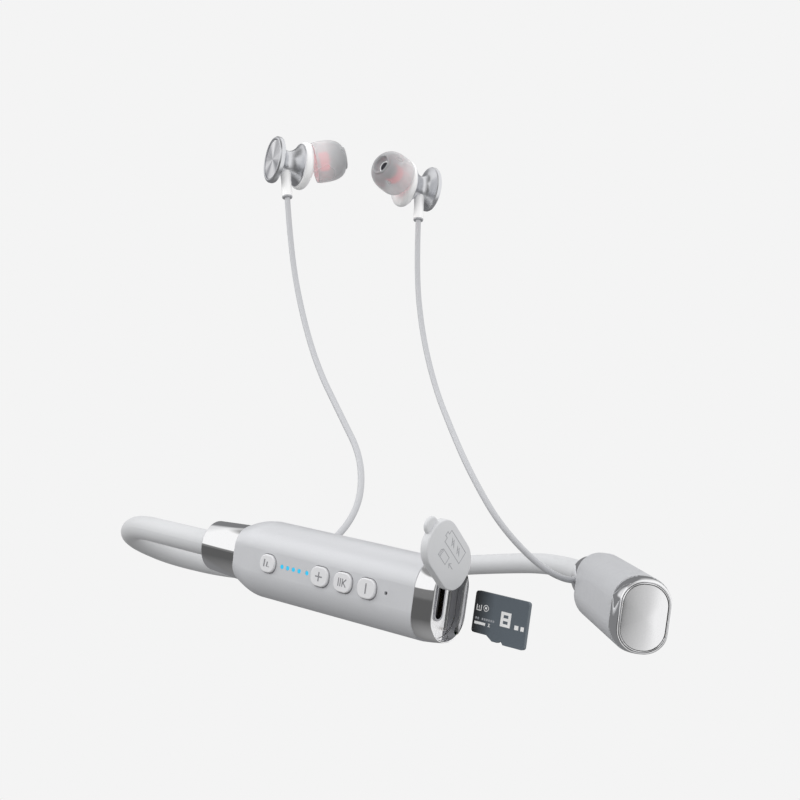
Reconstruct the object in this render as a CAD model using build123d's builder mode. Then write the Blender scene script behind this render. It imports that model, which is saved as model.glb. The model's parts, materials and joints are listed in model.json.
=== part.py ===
"""Neckband earphones: a control pod and a battery pod on a springy neck band, and two corded earbuds.

Frame: millimetres, +Z up, the open side of the band towards -Y, the band's middle plane at X = 0.
The origin is where the nape touches the inside of the band. The control pod is at -X, on the wearer's
right, and the battery pod is at +X. In the comments u runs along a pod from its front end to the band,
v runs outwards from the pod's axis and w runs up.
"""
from build123d import *
from math import cos, pi, radians, sin, tan
import os

os.makedirs("parts", exist_ok=True)

# Band and pod layout
splay = 24.4                    # each pod turns in towards the other by this many degrees
half_gap = 28.0                 # from the middle plane to the centre of a pod's front end
front_y = -193.3
pod_z = 23.3
band_d = 7.0
band_inset = 70.0               # u where the band ends inside the collar
sleeve_bore = 7.2
wire_d = 1.2
wire_bore = 1.4
loom_d = 2.3
loom_bore = 2.6
wire_offset = 1.5               # of the spring wire from the middle of the band
loom_offset = -0.95
band_straight = 98.2            # u of the first corner of the band's path
band_half = [(71.3, -78.5, 21.9), (67.4, -54.1, 17.3), (57.1, -31.1, 11.7), (38.4, -9.5, 4.9),
             (13.0, 3.5, 0.0)]

# Pod sections, width across v by height along w
pod_w, pod_h = 15.4, 19.9
cavity_w, cavity_h = 13.0, 17.5
rim_w, rim_h = 13.3, 18.5
recess_w, recess_h = 12.4, 17.7
ledge_w, ledge_h = 11.6, 16.9
neck_w, neck_h = 12.0, 15.0     # where the housing meets the collar
collar_w, collar_h = 11.4, 13.4
corner = 0.45                   # corner radius as a share of the width
bezel_end = 5.3
plate_front = 3.0
ledge_u = 4.2
shoulder_u = 58.0
neck_u = 67.5
collar_u = 80.6

# Keys, lights and microphone on the outer face of the control pod
keys = {"mode_button": (52.8, 5.2, 4.6), "volume_up_button": (34.7, 5.7, 4.9),
        "play_button": (27.0, 5.7, 4.9), "volume_down_button": (19.3, 5.7, 4.9)}
key_top = 8.4
key_shoulder = 6.3              # v of the flange that holds a key in
key_foot = 5.8
key_gap = 0.1
led_u = [48.0, 46.0, 44.0, 42.0, 39.3]
led_d = 1.05
mic_u = 13.5

# Port, card and lid
usb_v, usb_tall, usb_thick = 0.5, 8.94, 3.16
card_v, card_w = -3.2, -1.3
card_long, card_wide, card_thick = 15.0, 11.0, 1.0
slot_gap = 1.2
card_out = -4.9                 # u of the card's inner end while it is drawn out
stem_v, stem_w = 0.6, 7.65      # the lid turns about this line
stem_d = 1.2
stem_head_u = 4.35              # the head keeps the drawn-out lid from coming off
lid_turn = 128.0                # from closed to open
lid_w, lid_h, lid_thick = 11.6, 18.0, 1.7
lid_back = -0.9

# Earbuds
bud_x, bud_y, bud_z = 31.0, -33.3, 146.6
bud_lift = {-1: -0.95, 1: 0.85}  # the two cords don't hold the buds at quite the same height
nozzle_offset = 1.2             # the nozzle's root stands this far forward of the bud's axis
nozzle_root = 10.6
nozzle_lean = {-1: (0.915, -0.26, 0.33), 1: (-0.905, -0.35, 0.25)}
nozzle_r, nozzle_bore_r, nozzle_len = 2.3, 1.7, 13.2
tip_back = 4.5                  # from the nozzle's root to the edge of the ear tip's skirt
tip_long = 10.9
waist_s = 5.0
stem_root = 2.1

# Cords
cord_d = 1.9
cord_points = [(25.1, -37.8, 134.0), (23.7, -45.1, 114.5), (22.2, -58.9, 93.8), (21.0, -75.7, 76.4),
               (19.3, -94.5, 63.0), (18.1, -113.0, 50.5), (23.7, -126.7, 35.8), (38.7, -134.4, 23.6),
               (50.5, -127.4, 22.9)]
relief_long = 3.2
relief_proud = 2.5


def save(builder, label):
    builder.part.label = label
    export_step(builder.part, f"parts/{label}.step")


def along(side):
    return Vector(side * sin(radians(splay)), cos(radians(splay)), 0)


def outward(side):
    return Vector(side * cos(radians(splay)), -sin(radians(splay)), 0)


def pod_point(side, u, v=0.0, w=0.0):
    return Vector(side * half_gap, front_y, pod_z + w) + along(side) * u + outward(side) * v


def pod_plane(side, u, v=0.0, w=0.0):
    """A plane across the pod: x outwards, z towards the band."""
    return Plane(origin=pod_point(side, u, v, w), x_dir=outward(side), z_dir=along(side))


def face_plane(side, u, v, w=0.0):
    """A plane parallel to the pod's outer face: x towards the band, z outwards."""
    return Plane(origin=pod_point(side, u, v, w), x_dir=along(side), z_dir=outward(side))


def section(side, u, width, height):
    with BuildSketch(pod_plane(side, u)) as outline:
        RectangleRounded(width, height, corner * width)
    return outline.sketch


def slab(side, u_range, v_range, w_range, mode=Mode.ADD):
    """A block between two values of u, v and w, for the current part."""
    u_mid, v_mid, w_mid = sum(u_range) / 2, sum(v_range) / 2, sum(w_range) / 2
    long, tall, thick = u_range[1] - u_range[0], w_range[1] - w_range[0], v_range[1] - v_range[0]
    with Locations(face_plane(side, u_mid, v_mid, w_mid).location):
        Box(long, tall, thick, mode=mode)


def corner_radii(points):
    """The largest tangent arc at each corner that the shorter of its two runs allows."""
    radii = []
    for before, here, after in zip(points, points[1:], points[2:]):
        run_in, run_out = Vector(here) - Vector(before), Vector(after) - Vector(here)
        turn = radians(run_in.get_angle(run_out))
        radii.append(0.45 * min(run_in.length, run_out.length) / tan(turn / 2))
    return radii


def path_length(path):
    return sum(edge.length for edge in path.edges())


def mirrored(point, side):
    return (side * point[0], point[1], point[2])


def cord_line(side):
    """The cord's points on one side; the bud's lift fades out over the first three."""
    lifts = [bud_lift[side] * share for share in (1.0, 0.67, 0.33)] + [0.0] * (len(cord_points) - 3)
    return [(side * x, y, z + lift) for (x, y, z), lift in zip(cord_points, lifts)]


# Neck band: a silicone sleeve over a spring wire and a wiring loom
left_half = [tuple(pod_point(1, band_inset)), tuple(pod_point(1, band_straight))] + band_half
band_points = left_half + [mirrored(p, -1) for p in reversed(left_half)]
with BuildLine() as band_path:
    FilletPolyline(*band_points, radius=corner_radii(band_points))
band_start = pod_plane(1, band_inset)

with BuildPart() as band_sleeve:
    with BuildSketch(band_start):
        Circle(band_d / 2)
        with Locations((wire_offset, 0)):
            Circle(wire_bore / 2, mode=Mode.SUBTRACT)
        with Locations((loom_offset, 0)):
            Circle(loom_bore / 2, mode=Mode.SUBTRACT)
    sweep(path=band_path.line)
save(band_sleeve, "band_sleeve")

with BuildPart() as memory_wire:
    with BuildSketch(band_start):
        with Locations((wire_offset, 0)):
            Circle(wire_d / 2)
    sweep(path=band_path.line)
save(memory_wire, "memory_wire")

with BuildPart() as wiring_loom:
    with BuildSketch(band_start):
        with Locations((loom_offset, 0)):
            Circle(loom_d / 2)
    sweep(path=band_path.line)
save(wiring_loom, "wiring_loom")


# Pod shells, the same for both pods but for the openings in the control pod
def housing(side):
    """A tube with rounded corners that narrows over a shoulder to the collar."""
    with BuildPart() as shell:
        with BuildSketch(pod_plane(side, bezel_end)):
            RectangleRounded(pod_w, pod_h, corner * pod_w)
        extrude(amount=shoulder_u - bezel_end)
        shoulder = [(shoulder_u, 0.0), (61.2, 0.12), (64.4, 0.5), (neck_u, 1.0)]
        loft([section(side, u, pod_w + share * (neck_w - pod_w), pod_h + share * (neck_h - pod_h))
              for u, share in shoulder])
        with BuildSketch(pod_plane(side, bezel_end)):
            RectangleRounded(cavity_w, cavity_h, 6.3)
        extrude(amount=shoulder_u - bezel_end, mode=Mode.SUBTRACT)
        with BuildSketch(pod_plane(side, shoulder_u)):
            RectangleRounded(9.4, 12.4, 4.2)
        extrude(amount=7.0, mode=Mode.SUBTRACT)
        with BuildSketch(pod_plane(side, shoulder_u)):
            Circle(2.5)
        extrude(amount=neck_u - shoulder_u, mode=Mode.SUBTRACT)
    return shell


def bezel(side):
    """The front ring, with a recess and a ledge behind it."""
    with BuildPart() as ring:
        loft([section(side, 0, rim_w, rim_h), section(side, bezel_end, pod_w, pod_h)])
        with BuildSketch(pod_plane(side, 0)):
            RectangleRounded(recess_w, recess_h, 6.1)
        extrude(amount=ledge_u, mode=Mode.SUBTRACT)
        with BuildSketch(pod_plane(side, ledge_u)):
            RectangleRounded(ledge_w, ledge_h, 5.7)
        extrude(amount=bezel_end - ledge_u, mode=Mode.SUBTRACT)
    return ring


def cord_end(side):
    """The plane at the cord's lower end, z along the cord into the pod."""
    before, last = (Vector(*p) for p in cord_line(side)[-2:])
    return Plane(origin=last, z_dir=last - before)


def collar(side):
    """The ring that grips the end of the band, with a socket for the cord's relief."""
    with BuildPart() as ring:
        loft([section(side, neck_u, neck_w, neck_h), section(side, collar_u, collar_w, collar_h)])
        with BuildSketch(pod_plane(side, neck_u)):
            Circle(2.5)
        extrude(amount=band_inset - neck_u, mode=Mode.SUBTRACT)
        with BuildSketch(pod_plane(side, band_inset)):
            Circle(sleeve_bore / 2)
        extrude(amount=collar_u - band_inset, mode=Mode.SUBTRACT)
        with BuildSketch(cord_end(side)):
            Circle(1.55)
        extrude(amount=relief_long, mode=Mode.SUBTRACT)
    return ring


for side, pod in ((-1, "control"), (1, "battery")):
    save(collar(side), f"{pod}_collar")
    save(bezel(side), f"{pod}_bezel")
save(housing(1), "battery_housing")

plain_housing = housing(-1)
with BuildPart() as control_housing:
    add(plain_housing.part)
    for key_u, key_long, key_tall in keys.values():
        with BuildSketch(face_plane(-1, key_u, cavity_w / 2 - 1)):
            RectangleRounded(key_long + 2 * key_gap, key_tall + 2 * key_gap, 2.2)
        extrude(amount=3, mode=Mode.SUBTRACT)
    for u in led_u:
        with BuildSketch(face_plane(-1, u, cavity_w / 2 - 1)):
            Circle(led_d / 2 + 0.05)
        extrude(amount=3, mode=Mode.SUBTRACT)
    with BuildSketch(face_plane(-1, mic_u, cavity_w / 2 - 1)):
        Circle(0.45)
    extrude(amount=3, mode=Mode.SUBTRACT)
save(control_housing, "control_housing")

# Keys, light windows and what is behind them
for name, (key_u, key_long, key_tall) in keys.items():
    with BuildPart() as key:
        with BuildSketch(face_plane(-1, key_u, key_foot)):
            RectangleRounded(key_long + 0.9, key_tall + 0.8, 2.4)
        extrude(amount=key_shoulder - key_foot)
        with BuildSketch(face_plane(-1, key_u, key_shoulder)):
            RectangleRounded(key_long, key_tall, 2.1)
        extrude(amount=key_top - key_shoulder)
        top_edges = key.faces().sort_by(Axis(pod_point(-1, 0), outward(-1)))[-1].edges()
        fillet(top_edges, 0.35)
    save(key, name)

with BuildPart() as led_windows:
    for u in led_u:
        with BuildSketch(face_plane(-1, u, cavity_w / 2)):
            Circle(led_d / 2)
        extrude(amount=(pod_w - cavity_w) / 2)
save(led_windows, "led_windows")

board_v = (3.0, 3.6)
with BuildPart() as key_board:
    slab(-1, (9.5, 57.5), board_v, (-5.0, 5.0))
save(key_board, "key_board")

with BuildPart() as led_chips:
    for u in led_u:
        slab(-1, (u - 0.8, u + 0.8), (board_v[1], 4.2), (-0.4, 0.4))
save(led_chips, "led_chips")

with BuildPart() as key_switches:
    for key_u, key_long, key_tall in keys.values():
        slab(-1, (key_u - 1.75, key_u + 1.75), (board_v[1], 5.0), (-1.75, 1.75))
        with BuildSketch(face_plane(-1, key_u, 5.0)):
            Circle(0.8)
        extrude(amount=0.4)
save(key_switches, "key_switches")

with BuildPart() as microphone:
    with BuildSketch(face_plane(-1, mic_u, board_v[1])):
        Circle(2.0)
    extrude(amount=1.5)
save(microphone, "microphone")

# Main board, port, card socket and card
main_v = (-2.0, -1.2)
with BuildPart() as main_board:
    slab(-1, (4.3, 56.0), main_v, (-6.5, 6.5))
save(main_board, "main_board")

with BuildPart() as bluetooth_chip:
    slab(-1, (30.0, 35.5), (-2.9, main_v[0]), (-2.5, 2.5))
save(bluetooth_chip, "bluetooth_chip")


def slot_plane(u, v, w=0.0):
    """Across the control pod, x along w, for shapes that are tall and narrow."""
    return Plane(origin=pod_point(-1, u, v, w), x_dir=(0, 0, 1), z_dir=along(-1))


with BuildPart() as port_plate:
    with BuildSketch(pod_plane(-1, plate_front)):
        RectangleRounded(recess_w - 0.1, recess_h - 0.1, 6.05)
        with Locations((stem_v, stem_w)):
            Circle(stem_d / 2 + 0.08, mode=Mode.SUBTRACT)
        with Locations((card_v, card_w)):
            Rectangle(slot_gap, card_wide + 0.4, mode=Mode.SUBTRACT)
        with Locations((usb_v, 0)):
            SlotOverall(usb_tall + 0.1, usb_thick + 0.1, rotation=90, mode=Mode.SUBTRACT)
    extrude(amount=ledge_u - plate_front)
save(port_plate, "port_plate")

with BuildPart() as usb_shell:
    with BuildSketch(slot_plane(plate_front - 0.35, usb_v)):
        SlotOverall(usb_tall, usb_thick)
    extrude(amount=7.4)
    with BuildSketch(slot_plane(plate_front - 0.35, usb_v)):
        SlotOverall(usb_tall - 0.6, usb_thick - 0.6)
    extrude(amount=6.4, mode=Mode.SUBTRACT)
save(usb_shell, "usb_shell")

with BuildPart() as usb_tongue:
    slab(-1, (plate_front + 0.4, plate_front + 6.05), (usb_v - 0.35, usb_v + 0.35), (-3.35, 3.35))
save(usb_tongue, "usb_tongue")

with BuildPart() as card_socket:
    slab(-1, (8.5, 22.0), (-4.2, main_v[0]), (card_w - 5.75, card_w + 5.75))
    slab(-1, (8.4, 20.5), (card_v - 0.55, card_v + 0.55), (card_w - 5.6, card_w + 5.6), mode=Mode.SUBTRACT)
save(card_socket, "card_socket")

card_plane = Plane(origin=pod_point(-1, card_out, card_v - card_thick / 2, card_w),
                   x_dir=along(-1) * -1, z_dir=outward(-1))
low, high = -card_wide / 2, card_wide / 2
with BuildPart() as memory_card:
    with BuildSketch(card_plane):
        with BuildLine():
            Polyline((0, high), (card_long, high), (card_long, low), (9.2, low), (8.5, low + 0.8),
                     (7.6, low + 0.2), (6.1, low + 0.2), (4.4, low + 1.3), (0, low + 1.3), close=True)
        make_face()
    extrude(amount=card_thick)
    thickness_edges = memory_card.edges().filter_by(Axis((0, 0, 0), outward(-1)))
    by_reach = thickness_edges.group_by(Axis(pod_point(-1, 0), along(-1)))
    fillet(by_reach[0] + by_reach[-1], 0.7)
save(memory_card, "memory_card")


# Lid: it is drawn out a little and turned about its stem, clear of the port
def turned(v, w, degrees):
    a = radians(degrees)
    return v * cos(a) - w * sin(a), v * sin(a) + w * cos(a)


centre_dv, centre_dw = turned(-stem_v, -stem_w, lid_turn)
lid_x = outward(-1) * cos(radians(lid_turn)) + Vector(0, 0, 1) * sin(radians(lid_turn))
lid_plane = Plane(origin=pod_point(-1, lid_back - lid_thick, stem_v + centre_dv, stem_w + centre_dw),
                  x_dir=lid_x, z_dir=along(-1))
with BuildPart() as port_lid:
    with BuildSketch(lid_plane):
        RectangleRounded(lid_w, lid_h, 5.4)
        with Locations((0.9, -lid_h / 2)):
            RectangleRounded(4.4, 4.6, 1.7)
    extrude(amount=lid_thick)
    with BuildSketch(pod_plane(-1, lid_back, stem_v, stem_w)):
        Circle(stem_d / 2 + 0.06)
    extrude(amount=-0.9, mode=Mode.SUBTRACT)
save(port_lid, "port_lid")

with BuildPart() as lid_stem:
    with BuildSketch(pod_plane(-1, lid_back - 0.8, stem_v, stem_w)):
        Circle(stem_d / 2)
    extrude(amount=stem_head_u - lid_back + 0.8)
    with BuildSketch(pod_plane(-1, stem_head_u, stem_v, stem_w)):
        Circle(0.75)
    extrude(amount=0.7)
save(lid_stem, "lid_stem")

# Battery pod
dome_r = 45.0
with BuildPart() as end_plate:
    with BuildSketch(pod_plane(1, ledge_u)):
        RectangleRounded(recess_w - 0.1, recess_h - 0.1, 6.05)
    extrude(amount=-ledge_u - 0.7)
    with BuildSketch(pod_plane(1, ledge_u)):
        RectangleRounded(recess_w - 2.1, recess_h - 2.1, 5.0)
    extrude(amount=-2.8, mode=Mode.SUBTRACT)
    with Locations(Location(pod_point(1, dome_r - 0.7))):
        Sphere(dome_r, mode=Mode.INTERSECT)
save(end_plate, "end_plate")

with BuildPart() as battery_cell:
    with BuildSketch(pod_plane(1, 16.0)):
        RectangleRounded(10.6, 15.0, 4.6)
    extrude(amount=41.0)
    fillet(battery_cell.edges().filter_by(GeomType.LINE, reverse=True), 0.6)
save(battery_cell, "battery_cell")

with BuildPart() as protection_board:
    slab(1, (8.0, 15.0), (-0.4, 0.4), (-5.0, 5.0))
save(protection_board, "protection_board")


# Earbuds: a spool-shaped metal body, a front cap with a canted nozzle, and a soft tip
def profile_plane(origin, axis):
    """Sketch x is the distance from the axis and sketch y runs along it."""
    radial = Vector(0, 0, 1) - axis * axis.Z
    return Plane(origin=origin, x_dir=radial, z_dir=radial.cross(axis))


for side, ear in ((-1, "right"), (1, "left")):
    bud_axis = Vector(-side, 0, 0)
    bud_origin = Vector(side * bud_x, bud_y, bud_z + bud_lift[side])
    bud_plane = profile_plane(bud_origin, bud_axis)
    turn_axis = Axis(bud_origin, bud_axis)
    root = bud_origin + bud_axis * nozzle_root + Vector(0, -nozzle_offset, 0)
    nozzle_dir = Vector(*nozzle_lean[side]).normalized()
    nozzle_axis = Axis(root, nozzle_dir)
    nozzle_plane = profile_plane(root, nozzle_dir)
    waist = bud_origin + bud_axis * waist_s
    route = cord_line(side)
    cord_top = Vector(*route[0])
    stem_dir = (Vector(*route[1]) - cord_top).normalized()
    stem_long = (cord_top - waist).dot(stem_dir)
    stem_plane = Plane(origin=cord_top - stem_dir * (stem_long - stem_root), z_dir=stem_dir)

    with BuildPart() as bud_body:
        with BuildSketch(bud_plane):
            with BuildLine():
                Polyline((7.9, 0.9), (7.9, 0.35), (7.6, 0), (6.9, 0), (6.9, 0.9), (4.7, 0.9), (4.7, 2.4),
                         (1.5, 2.4), (1.5, 8.6), (5.6, 9.5), (5.6, 10.0), (7.3, 10.0), (7.3, 9.6))
                Spline((7.3, 9.6), (5.7, 8.3), (3.9, 5.2), (5.7, 2.3), (7.9, 0.9))
            make_face()
        revolve(axis=turn_axis)
        with BuildSketch(stem_plane):
            Circle(1.9)
        extrude(amount=6, mode=Mode.SUBTRACT)
    save(bud_body, f"{ear}_bud_body")

    with BuildPart() as back_plate:
        with BuildSketch(bud_plane):
            with Locations((3.4, 0.6)):
                Rectangle(6.8, 0.6)
        revolve(axis=turn_axis)
    save(back_plate, f"{ear}_back_plate")

    with BuildPart() as clasp_magnet:
        with BuildSketch(bud_plane):
            with Locations((2.25, 1.6)):
                Rectangle(4.5, 1.4)
        revolve(axis=turn_axis)
    save(clasp_magnet, f"{ear}_clasp_magnet")

    with BuildPart() as speaker_driver:
        with BuildSketch(bud_plane):
            with BuildLine():
                Polyline((0, 9.6), (5.5, 9.6), (5.5, 11.6), (4.0, 12.0), (0, 12.0), close=True)
            make_face()
        revolve(axis=turn_axis)
    save(speaker_driver, f"{ear}_speaker_driver")

    with BuildPart() as front_cap:
        with BuildSketch(bud_plane):
            with BuildLine():
                Polyline((3.4, 13.6), (0, 13.6), (0, 10.0), (7.5, 10.0))
                ThreePointArc((7.5, 10.0), (8.1, 11.1), (7.4, 12.3))
                ThreePointArc((7.4, 12.3), (5.6, 13.1), (3.4, 13.6))
            make_face()
        revolve(axis=turn_axis)
        with BuildSketch(nozzle_plane):
            with Locations((nozzle_r / 2, (2.0 + nozzle_len) / 2)):
                Rectangle(nozzle_r, nozzle_len - 2.0)
        revolve(axis=nozzle_axis)
        with BuildSketch(bud_plane):
            with Locations((2.85, 10.8)):
                Rectangle(5.7, 2.8)
        revolve(axis=turn_axis, mode=Mode.SUBTRACT)
        with BuildSketch(nozzle_plane):
            with Locations((nozzle_bore_r / 2, nozzle_len / 2 + 1)):
                Rectangle(nozzle_bore_r, nozzle_len)
        revolve(axis=nozzle_axis, mode=Mode.SUBTRACT)
    save(front_cap, f"{ear}_front_cap")

    with BuildPart() as nozzle_mesh:
        with BuildSketch(nozzle_plane):
            with Locations((0.8, nozzle_len - 0.2)):
                Rectangle(1.6, 0.3)
        revolve(axis=nozzle_axis)
    save(nozzle_mesh, f"{ear}_nozzle_mesh")

    with BuildPart() as tip_core:
        with BuildSketch(nozzle_plane):
            with Locations((2.78, tip_back + 3.35)):
                Rectangle(0.86, 2.7)
        revolve(axis=nozzle_axis)
    save(tip_core, f"{ear}_tip_core")

    with BuildPart() as ear_tip:
        with BuildSketch(nozzle_plane):
            b, f = tip_back, tip_back + tip_long
            with BuildLine():
                Spline((6.75, b), (7.05, b + 1.8), (7.0, b + 4.2), (6.3, b + 7.2), (3.4, b + 10.0))
                Polyline((3.4, b + 10.0), (3.05, b + 10.1), (3.05, f), (2.4, f), (2.4, b + 4.9),
                         (3.0, b + 4.9), (3.0, b + 9.2))
                Spline((3.0, b + 9.2), (5.4, b + 7.0), (6.25, b + 4.2), (6.4, b + 1.8), (6.15, b))
                Line((6.15, b), (6.75, b))
            make_face()
        revolve(axis=nozzle_axis)
    save(ear_tip, f"{ear}_ear_tip")

    with BuildPart() as cord_stem:
        with BuildSketch(stem_plane):
            Circle(1.85)
        with BuildSketch(stem_plane.offset(stem_long - stem_root)):
            Circle(1.7)
        loft()
    save(cord_stem, f"{ear}_cord_stem")

    with BuildLine() as cord_path:
        FilletPolyline(*route, radius=corner_radii(route))
    with BuildPart() as cord:
        with BuildSketch(Plane(origin=cord_top, z_dir=stem_dir)):
            Circle(cord_d / 2)
        sweep(path=cord_path.line)
    save(cord, f"{ear}_cord")
    ideal = path_length(cord_path) * pi * (cord_d / 2) ** 2
    print(ear, "cord: length", round(path_length(cord_path), 1), "volume / ideal",
          round(cord.part.volume / ideal, 4), "radii", [round(r, 1) for r in corner_radii(route)])

    with BuildPart() as cord_relief:
        with BuildSketch(cord_end(side)):
            Circle(1.25)
        with BuildSketch(cord_end(side).offset(relief_proud)):
            Circle(1.5)
        loft()
        with BuildSketch(cord_end(side).offset(relief_proud)):
            Circle(1.5)
        extrude(amount=relief_long - relief_proud - 0.05)
    save(cord_relief, f"{ear}_cord_relief")

print("band: length", round(path_length(band_path), 1), "sleeve volume", round(band_sleeve.part.volume, 1),
      "radii", [round(r, 1) for r in corner_radii(band_points)])
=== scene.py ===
"""Neckband earphones in silver silicone, metallic plastic and chrome, on a pale studio ground.

Lengths in the helpers are in millimetres and are turned into metres where a point is placed. On a pod,
u runs back from its front end, v outwards from its axis and w up. A turned shape is given by pairs of a
radius and a distance along its axis.
"""
import json
from math import cos, pi, radians, sin, tan
import bmesh
import bpy
from mathutils import Matrix, Vector


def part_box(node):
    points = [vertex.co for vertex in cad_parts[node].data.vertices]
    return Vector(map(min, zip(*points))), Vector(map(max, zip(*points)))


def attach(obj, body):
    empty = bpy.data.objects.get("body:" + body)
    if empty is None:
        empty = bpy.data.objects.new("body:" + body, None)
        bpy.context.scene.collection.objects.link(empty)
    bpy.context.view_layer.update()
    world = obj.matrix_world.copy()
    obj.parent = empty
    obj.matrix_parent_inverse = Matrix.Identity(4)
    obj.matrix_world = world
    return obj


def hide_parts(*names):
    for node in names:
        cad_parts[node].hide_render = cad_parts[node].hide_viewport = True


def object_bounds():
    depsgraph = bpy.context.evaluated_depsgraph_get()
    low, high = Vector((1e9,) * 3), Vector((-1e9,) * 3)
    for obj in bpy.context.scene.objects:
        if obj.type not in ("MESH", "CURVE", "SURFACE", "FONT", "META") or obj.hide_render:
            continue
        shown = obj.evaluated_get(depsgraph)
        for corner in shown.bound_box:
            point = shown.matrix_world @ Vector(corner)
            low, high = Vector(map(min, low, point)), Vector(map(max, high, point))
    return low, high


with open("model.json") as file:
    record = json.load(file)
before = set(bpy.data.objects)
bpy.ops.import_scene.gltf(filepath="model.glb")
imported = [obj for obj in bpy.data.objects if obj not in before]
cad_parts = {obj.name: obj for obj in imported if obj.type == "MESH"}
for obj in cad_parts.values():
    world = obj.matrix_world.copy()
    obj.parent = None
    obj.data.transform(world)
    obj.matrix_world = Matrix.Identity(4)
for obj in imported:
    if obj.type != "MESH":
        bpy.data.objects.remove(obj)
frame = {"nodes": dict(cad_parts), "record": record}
cad_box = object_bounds()
MM = 0.001
mounts = {m["name"]: m for m in frame["record"]["mounts"]}


# Camera
def make_camera():
    data = bpy.data.cameras.new("camera")
    data.lens = 60.0
    data.sensor_width = 36.0
    data.clip_start = 0.01
    data.clip_end = 20.0
    camera = bpy.data.objects.new("camera", data)
    bpy.context.scene.collection.objects.link(camera)
    heading = Matrix.Rotation(radians(-26.12), 4, "Z")
    pitch = Matrix.Rotation(radians(90.61), 4, "X")
    roll = Matrix.Rotation(radians(8.0), 4, "Z")
    position = Matrix.Translation((-0.1818, -0.4653, 0.0655))
    camera.matrix_world = position @ heading @ pitch @ roll
    bpy.context.scene.camera = camera


make_camera()


# Materials
BROAD = 40      # size of the slow change in roughness, in grains


def linear(code):
    """A colour in linear light from its six-digit web code."""
    channels = [int(code[i:i + 2], 16) / 255 for i in (0, 2, 4)]
    return tuple(c / 12.92 if c <= 0.04045 else ((c + 0.055) / 1.055) ** 2.4 for c in channels) + (1.0,)


def scaled(colour, factor):
    return tuple(min(1.0, c * factor) for c in colour[:3]) + (1.0,)


def node(tree, kind, **settings):
    made = tree.nodes.new(kind)
    for key, value in settings.items():
        setattr(made, key, value)
    return made


def object_coordinates(tree):
    return node(tree, "ShaderNodeTexCoord").outputs["Object"]


def noise(tree, size, detail=4.0, stretch=None):
    """Noise whose grain is about size mm across, stretched along an axis if a scale is given."""
    texture = node(tree, "ShaderNodeTexNoise")
    texture.inputs["Scale"].default_value = 1.0 / (size * MM)
    texture.inputs["Detail"].default_value = detail
    source = object_coordinates(tree)
    if stretch:
        mapping = node(tree, "ShaderNodeMapping")
        mapping.inputs["Scale"].default_value = stretch
        tree.links.new(source, mapping.inputs["Vector"])
        source = mapping.outputs["Vector"]
    tree.links.new(source, texture.inputs["Vector"])
    return texture.outputs["Fac"]


def spread(tree, value, low, high, start=0.3, end=0.7):
    """A value of 0 to 1 spread between low and high."""
    ranged = node(tree, "ShaderNodeMapRange")
    ranged.inputs["From Min"].default_value = start
    ranged.inputs["From Max"].default_value = end
    ranged.inputs["To Min"].default_value = low
    ranged.inputs["To Max"].default_value = high
    tree.links.new(value, ranged.inputs["Value"])
    return ranged.outputs["Result"]


def blended(tree, value, first, second):
    """A colour between first and second, by a value of 0 to 1."""
    ramp = node(tree, "ShaderNodeValToRGB")
    ramp.color_ramp.elements[0].color = first
    ramp.color_ramp.elements[1].color = second
    tree.links.new(value, ramp.inputs["Fac"])
    return ramp.outputs["Color"]


def surface(name, colour, roughness=0.45, metallic=0.0, grain=0.25, speckle=0.04, bump=0.15, depth=0.02,
            rough_spread=0.05, stretch=None, **sockets):
    """A shader with fine grain: colour and bump vary at the grain's size in mm, roughness more slowly."""
    material = bpy.data.materials.new(name)
    material.use_nodes = True
    tree = material.node_tree
    shader = tree.nodes["Principled BSDF"]
    fine = noise(tree, grain, stretch=stretch)
    broad = noise(tree, grain * BROAD, detail=2.0)
    share = spread(tree, fine, 0.0, 1.0)
    tone = blended(tree, share, scaled(colour, 1 - speckle), scaled(colour, 1 + speckle))
    tree.links.new(tone, shader.inputs["Base Color"])
    wear = spread(tree, broad, roughness - rough_spread, roughness + rough_spread)
    tree.links.new(wear, shader.inputs["Roughness"])
    relief = node(tree, "ShaderNodeBump")
    relief.inputs["Strength"].default_value = bump
    relief.inputs["Distance"].default_value = depth * MM
    tree.links.new(fine, relief.inputs["Height"])
    tree.links.new(relief.outputs["Normal"], shader.inputs["Normal"])
    shader.inputs["Metallic"].default_value = metallic
    for socket, value in sockets.items():
        shader.inputs[socket.replace("_", " ")].default_value = value
    return material


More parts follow.
